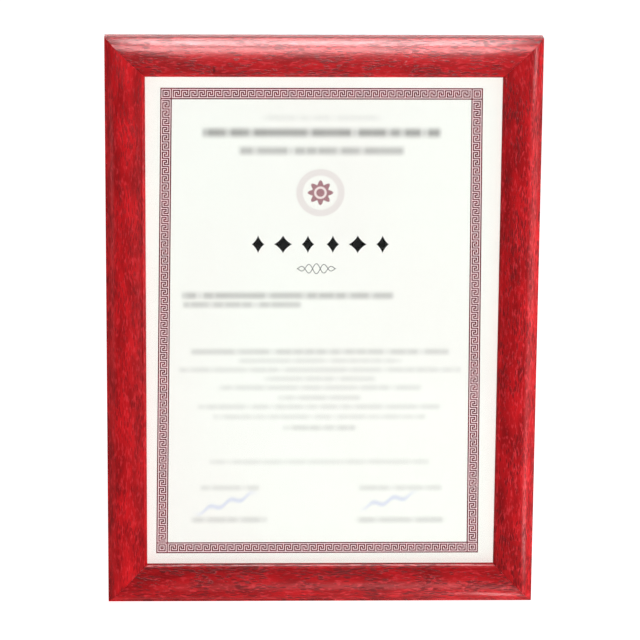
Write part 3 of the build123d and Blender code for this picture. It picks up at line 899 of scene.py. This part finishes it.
def set_out(mesh, places, finish):
    """Copies of a mesh at several places, each a matrix, as one plain mesh."""
    points = bpy.data.meshes.new("places")
    points.from_pydata([place.to_translation() for place in places], [], [])
    turns = points.attributes.new("turn", "FLOAT_VECTOR", "POINT")
    for place, stored in zip(places, turns.data):
        stored.vector = Vector(place.to_euler())
    piece = template(mesh)
    made = grow(points, set_tree, Piece=piece, Finish=finish)
    bpy.data.objects.remove(piece)
    return made


def lathe(points, steps=28):
    """A turned shape: points are its radius and height, from the axis round to the axis again."""
    solid = bmesh.new()
    angles = [2 * math.pi * step / steps for step in range(steps)]
    rings = []
    for radius, height in points:
        ring = [(radius * math.cos(a), radius * math.sin(a), height) for a in angles]
        rings.append([solid.verts.new(spot) for spot in (ring if radius else [(0, 0, height)])])
    for lower, upper in zip(rings, rings[1:]):
        wall_between(solid, lower, upper)
    bmesh.ops.recalc_face_normals(solid, faces=solid.faces)
    return to_mesh(solid, "turned")


def dome(radius, height, base, steps=6):
    """The rounded outside of a head, from its rim in to the middle."""
    angles = [math.radians(90 * step / steps) for step in range(steps)]
    outside = [(radius * math.cos(a), base + height * math.sin(a)) for a in angles]
    return [*outside, (0, base + height)]


turned_over = Matrix.Rotation(math.radians(180), 4, "Y")


def back_view(x, y, depth, turn=0.0):
    """A place on the back, looking away from the board, turned about that line."""
    return face @ Matrix.Translation((x, y, -depth)) @ turned_over @ turned_at(0, 0, turn=turn)


head_seat = 0.0012
screw_head_radius = 0.0031
screw_head_height = 0.0019
screw_radius = 0.0016
screw_depth = 0.0085
slot_length = 0.0034
slot_width = 0.0008
slot_depth = 0.0010
pivot_inset = 0.010
side_offset = 0.085
end_offset = 0.068
first_slot_turn = 23
slot_turn_step = 41

screw_steel = zinc_steel("screw_steel", srgb(205, 202, 186), srgb(158, 154, 138), 0.22, 0.36)
screw_outline = [
    (0, -screw_depth),
    (screw_radius * 0.25, -screw_depth),
    (screw_radius, -screw_depth * 0.7),
    (screw_radius, head_seat),
    (screw_head_radius, head_seat),
    *dome(screw_head_radius, screw_head_height, head_seat),
]
screw = put_in("template", lathe(screw_outline))
for size in ((slot_length, slot_width), (slot_width, slot_length)):
    head_top = (0, 0, head_seat + screw_head_height)
    cutter = put_in("template", block((*size, 2 * slot_depth), head_top))
    cut = screw.modifiers.new("slot", "BOOLEAN")
    cut.operation = "DIFFERENCE"
    cut.object = cutter
    cut.solver = "EXACT"
slotted = plain_mesh(screw)
for held in [thing for thing in bpy.data.objects if thing.name.startswith("template")]:
    bpy.data.objects.remove(held)

screw_spots = []
for right in (-1, 1):
    for upper in (-1, 1):
        screw_spots.append((right * (half_width - pivot_inset), half_height + upper * side_offset))
        screw_spots.append((right * end_offset, half_height + upper * (half_height - pivot_inset)))
slot_turns = [first_slot_turn + slot_turn_step * index for index in range(len(screw_spots))]
screw_places = [back_view(x, y, 0, turn) for (x, y), turn in zip(screw_spots, slot_turns)]
screws = set_out(slotted, screw_places, screw_steel)
add_piece("button_screws", screws, "frame", "screw_steel", "turn_button_screws")

brass_rivet, brass = new_material("brass_rivet")
tarnish = noise(brass, own_place(brass), 700, detail=3.0)
brass_tone = blend(brass, tarnish, srgb(206, 178, 112), srgb(150, 122, 70))
close_material(brass, brass_tone, ramp(brass, tarnish, 0.3, 0.7, 0.22, 0.4), metallic=1.0)
rivet_head_radius = 0.0030
rivet_head_height = 0.0012
rivet_shank_radius = 0.0015
clinch_radius = 0.0024
clinch_height = 0.0007
board_thickness = 0.0030
hinge_gauge = 0.0010
strap_depth = 0.0016
rivet_offset = 0.010
plate_rivet_height = 0.237206
hanger_rivet_height = 0.293450
leaf_rivet_drop = 0.0230
leaf_back = 0.0020
strut_opening = 22.0


def rivet(grip):
    """A rivet with its head on the origin, clinched at the far side of what it grips."""
    outline = [
        (0, -grip),
        (clinch_radius, -grip),
        (clinch_radius, clinch_height - grip),
        (rivet_shank_radius, clinch_height - grip),
        (rivet_shank_radius, 0),
        (rivet_head_radius, 0),
        *dome(rivet_head_radius, rivet_head_height, 0),
    ]
    return lathe(outline)


hinge_axis = Vector(next(joint["pos_m"] for joint in frame["joints"] if joint["name"] == "strut_hinge"))
strut_turn = Matrix.Rotation(math.radians(90 - lean_angle + strut_opening), 4, "X")
rivet_seat = Matrix.Translation((0, -leaf_rivet_drop, -leaf_back))
leaf_seat = Matrix.Translation(hinge_axis) @ strut_turn @ rivet_seat
sides = (-rivet_offset, rivet_offset)
plate_places = [back_view(side, plate_rivet_height, hinge_gauge) for side in sides]
leaf_places = [leaf_seat @ Matrix.Translation((side, 0, 0)) @ turned_over for side in sides]
hanger_places = [back_view(0, hanger_rivet_height, strap_depth)]
# Each set of rivets: the steel that it holds to the board or the strut, its places, its body and its node
rivet_sets = {
    "plate_rivets": (hinge_gauge, plate_places, "frame", "hinge_plate_rivets"),
    "leaf_rivets": (hinge_gauge, leaf_places, "strut", "hinge_leaf_rivets"),
    "strap_rivet": (strap_depth, hanger_places, "frame", "hanger_rivet"),
}
for name, (held, places, body, node) in rivet_sets.items():
    rivets = set_out(rivet(held + board_thickness), places, brass_rivet)
    add_piece(name, rivets, body, "brass_rivet", node)


# V-nails: strip steel bent to a V and driven across each mitre from behind, two to a corner. They stand
# proud of the wood by a hair.
nail_leg = 0.0045
nail_gauge = 0.0008
nail_length = 0.0070
nail_stands_out = 0.00006
nail_insets = (0.006, 0.0135)

nail_steel = zinc_steel("nail_steel", srgb(120, 118, 114), srgb(84, 82, 80), 0.35, 0.55)
leg = nail_leg / math.sqrt(2)
leg_end = nail_gauge / math.sqrt(2)
throat = nail_gauge * math.sqrt(2)
half_outline = [(throat, 0), (leg + leg_end, leg - leg_end), (leg, leg)]
nail_outline = [(0, 0), *[(x, -y) for x, y in reversed(half_outline[1:])], *half_outline]
nail_mesh = prism(nail_outline, -nail_stands_out, nail_length)

# Each corner of the frame's outside, and the turn that points the V-nails inwards
corner_turns = [
    (-half_width, 0, 45),
    (half_width, 0, 135),
    (half_width, frame_height, 225),
    (-half_width, frame_height, -45),
]
nail_places = []
for x, y, turn in corner_turns:
    corner_place = face @ turned_at(x, y, turn=turn)
    nail_places += [corner_place @ Matrix.Translation((inset, 0, 0)) for inset in nail_insets]
nails = set_out(nail_mesh, nail_places, nail_steel)
add_piece("v_nails", nails, "frame", "nail_steel", "corner_v_nails")


# Floor, lights and surroundings: a plain white floor under soft studio light. Some lamps are linked, as in
# a product picture, to the rails or to the print alone. The two that stand below the floor, which does not
# shade them, give the light that comes off the table.
floor_reach = 30.0
floor_drop = 0.0002


def seen(tree):
    """1 for a ray from the camera, straight or by way of a gloss or through glass, and 0 for any other."""
    rays = add_node(tree, "ShaderNodeLightPath")
    direct = math_node(tree, "MAXIMUM", rays["Is Camera Ray"], rays["Is Glossy Ray"])
    return math_node(tree, "MAXIMUM", direct, rays["Is Transmission Ray"])


floor_white, ground = new_material("floor_white")
matt = add_node(ground, "ShaderNodeBsdfDiffuse", {"Color": (0.82, 0.82, 0.82, 1)})
glow = ramp(ground, seen(ground), 0.0, 1.0, 0.4, 0.88)
lift = add_node(ground, "ShaderNodeEmission", {"Strength": glow})
both = add_node(ground, "ShaderNodeAddShader", {0: matt[0], 1: lift[0]})
add_node(ground, "ShaderNodeOutputMaterial", {"Surface": both[0]})
floor_mesh = bpy.data.meshes.new("floor")
floor_corners = [(floor_reach * x, floor_reach * y, 0) for x, y in ((-1, -1), (1, -1), (1, 1), (-1, 1))]
floor_mesh.from_pydata(floor_corners, [], [(0, 1, 2, 3)])
floor_mesh.materials.append(floor_white)
floor = put_in("floor", floor_mesh)
floor.location = (0, 0, -floor_drop)


def area_light(name, location, target, width, height, power):
    data = bpy.data.lights.new(name, "AREA")
    data.shape = "RECTANGLE"
    data.size = width
    data.size_y = height
    data.energy = power
    lamp = put_in(name, data)
    lamp.location = location
    lamp.rotation_euler = (Vector(target) - Vector(location)).to_track_quat("-Z", "Y").to_euler()
    lamp.visible_camera = False
    return lamp


def link_light(source, state, *pieces, part="receiver"):
    """What a source lights, or what shades it (blocker): these alone (INCLUDE), or all else (EXCLUDE)."""
    group = bpy.data.collections.new(f"{source.name}_{part}")
    for piece in pieces:
        group.objects.link(bpy.data.objects[piece])
    for held in group.collection_objects:
        held.light_linking.link_state = state
    setattr(source.light_linking, part + "_collection", group)


# Each lamp: its place, its aim, its width and height, and its power
right_window = area_light("right_window", (0.72, -0.4, 0.12), (0, 0, 0.15), 0.8, 0.2, 5.5)
left_window = area_light("left_window", (-1.2, -0.7, 0.15), (0, 0, 0.15), 0.6, 0.2, 3.5)
overhead = area_light("overhead", (0.0, -0.1, 2.5), (0, 0, 0), 1.6, 1.6, 16.0)
front_fill = area_light("front_fill", (0.7, -2.0, 0.5), (0, 0, 0.16), 0.5, 0.4, 17.5)
low_fill = area_light("low_fill", (0.03, -2.0, 0.1), (0, 0, 0.1), 0.5, 0.2, 8.0)
print_fill = area_light("print_fill", (0.0, -2.0, 0.55), (0, 0, 0.16), 0.3, 0.3, 34.4)
for lamp in (front_fill, low_fill, print_fill):
    lamp.visible_glossy = False
print_pieces = ["certificate", "printed_border", "printed_ornaments"]
level_rails = ["moulding_top", "moulding_bottom"]
rails = [*level_rails, "moulding_left", "moulding_right"]
link_light(right_window, "EXCLUDE", "glass", *print_pieces)
link_light(left_window, "EXCLUDE", "glass", "moulding_right", *print_pieces)
link_light(overhead, "EXCLUDE", *print_pieces)
link_light(front_fill, "EXCLUDE", *level_rails, *print_pieces)
link_light(low_fill, "INCLUDE", *level_rails)
link_light(print_fill, "INCLUDE", *print_pieces)
link_light(print_fill, "EXCLUDE", *rails, part="blocker")
link_light(floor, "EXCLUDE", *print_pieces)

# Lamps seen only as sheens on the lacquer: place, aim, width, height, power, and the rails that show them
sheen_lights = [
    ("over_the_top", (0, -0.06, 0.68), (0, 0, 0.33), 0.4, 0.3, 42.0, ("top", "left", "right")),
    ("above_the_face", (0, -0.18, 0.445), (0, 0, 0.33), 0.42, 0.1, 9.0, ("top",)),
    ("before_the_top", (0, -0.25, 0.37), (0, 0, 0.33), 0.5, 0.08, 7.0, ("top",)),
    ("over_the_lip", (0, -0.04, 0.90), (0, 0, 0.03), 0.8, 0.4, 76.0, ("bottom",)),
    ("low_down", (0.25, -0.7, 0.06), (0, 0, 0.01), 0.6, 0.1, 6.0, ("bottom",)),
    ("behind", (0, 2.2, 0.6), (0, 0, 0.33), 2.0, 1.0, 58.0, ("top",)),
    ("high_corner", (0.38, -0.29, 0.40), (0.12, 0, 0.30), 0.14, 0.10, 3.2, ("right",)),
    ("low_corner", (0.36, -0.36, -0.05), (0.115, -0.06, 0.03), 0.14, 0.1, 2.3, ("right",)),
    ("off_the_table", (0.20, -0.36, -0.27), (0.12, -0.07, 0.01), 0.14, 0.14, 3.8, ("bottom",)),
]
for name, location, target, width, height, power, sides in sheen_lights:
    lamp = area_light("sheen_" + name, location, target, width, height, power)
    lamp.visible_diffuse = False
    link_light(lamp, "INCLUDE", *[f"moulding_{side}" for side in sides])
    if location[2] < 0:
        link_light(lamp, "EXCLUDE", floor.name, part="blocker")

world = bpy.data.worlds.new("surroundings")
bpy.context.scene.world = world
sky = cleared(world)
strength = ramp(sky, seen(sky), 0.0, 1.0, 0.06, 1.0)
background = add_node(sky, "ShaderNodeBackground", {"Color": (1, 1, 1, 1), "Strength": strength})
add_node(sky, "ShaderNodeOutputWorld", {"Surface": background[0]})
bpy.context.scene.view_settings.view_transform = "Standard"
